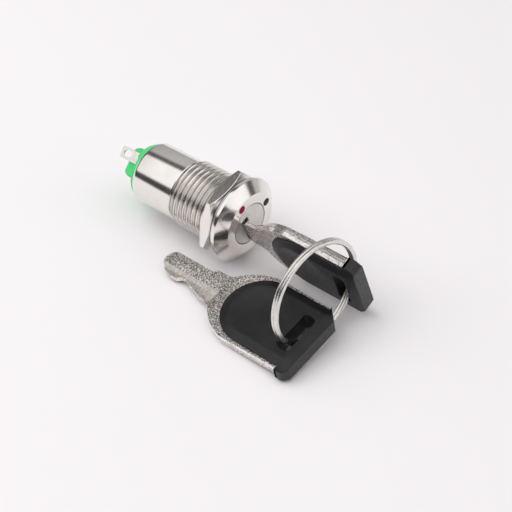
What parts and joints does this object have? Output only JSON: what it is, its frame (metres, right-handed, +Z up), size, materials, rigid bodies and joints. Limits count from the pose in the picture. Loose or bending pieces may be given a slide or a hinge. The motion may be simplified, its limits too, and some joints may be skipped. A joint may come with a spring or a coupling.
{
  "type": "selector key switch",
  "caption": "Panel-mounted key switch with a threaded metal barrel, hex nut, rear solder terminals, and keys with moulded heads on a split ring, one of them in the lock.",
  "frame": {"origin": "on the lock axis, in the plane of the flange's rear face, which seats on the panel", "axes": "+Y along the lock axis towards the terminals, keys and flange face towards -Y, +Z up from the table that the part lies on"},
  "size_m": [0.0268, 0.0524, 0.0191],
  "materials": {
    "nickel_polished": "bright nickel plate",
    "nickel_satin": "satin nickel plate",
    "key_metal": "plated zinc casting, grainy faces",
    "black_plastic": "satin moulded plastic",
    "green_plastic": "moulded plastic",
    "red_enamel": "enamel fill",
    "green_enamel": "enamel fill",
    "tinned_brass": "tin plate",
    "spring_steel": "bright wire",
    "brass": "stamped brass",
    "rotor_plastic": "moulded plastic",
    "silver_contact": "silver"
  },
  "bodies": {
    "switch_body": {"barrel_housing": "nickel_polished", "off_mark": "red_enamel", "on_mark": "green_enamel", "rear_insulator": "green_plastic", "terminal_common": "tinned_brass", "terminal_switched": "tinned_brass", "contact_studs": "silver_contact"},
    "washer": {"lock_washer": "spring_steel"},
    "nut": {"hex_nut": "nickel_polished"},
    "plug": {"key_plug": "nickel_satin", "plug_retaining_clip": "spring_steel", "contact_rotor": "rotor_plastic", "contact_bridge": "silver_contact", "bridge_spring": "spring_steel", "stop_ball": "spring_steel", "stop_ball_spring": "spring_steel", "wafer_springs": "spring_steel"},
    "tumblers": {"wafer_1": "brass", "wafer_2": "brass", "wafer_3": "brass", "wafer_4": "brass"},
    "lock_key": {"key_1_blade": "key_metal", "key_1_head": "black_plastic"},
    "ring": {"split_ring": "nickel_polished"},
    "loose_key": {"key_2_blade": "key_metal", "key_2_head": "black_plastic"}
  },
  "joints": [
    {"name": "nut_travel", "type": "slide", "parent": "switch_body", "child": "washer", "axis": [0, 1, 0], "range_m": [0, 0.0078]},
    {"name": "nut_turn", "type": "hinge", "parent": "washer", "child": "nut", "pos_m": [0, 0.0017, 0], "axis": [0, 1, 0], "range_deg": [0, 2808]},
    {"name": "plug_turn", "type": "hinge", "parent": "switch_body", "child": "plug", "pos_m": [0, 0, 0], "axis": [0, 1, 0], "range_deg": [0, 90]},
    {"name": "key_pull", "type": "slide", "parent": "plug", "child": "lock_key", "axis": [0, -1, 0], "range_m": [0, 0.012]},
    {"name": "tumbler_drop", "type": "slide", "parent": "plug", "child": "tumblers", "axis": [0.3811, 0, -0.9245], "range_m": [0, 0.0006]},
    {"name": "ring_spin", "type": "hinge", "parent": "lock_key", "child": "ring", "pos_m": [-0.00776, -0.02171, 0.00175], "axis": [0.106, 0.9915, -0.0758], "continuous": true},
    {"name": "loose_key_swing", "type": "hinge", "parent": "lock_key", "child": "loose_key", "pos_m": [-0.00776, -0.02171, 0.00175], "axis": [0.106, 0.9915, -0.0758], "range_deg": [0, 90]}
  ],
  "couplings": [
    {"joint": "nut_turn", "follows": "nut_travel", "rad_per_m": 6283.2},
    {"joint": "tumbler_drop", "follows": "key_pull", "ratio": 0.05}
  ]
}
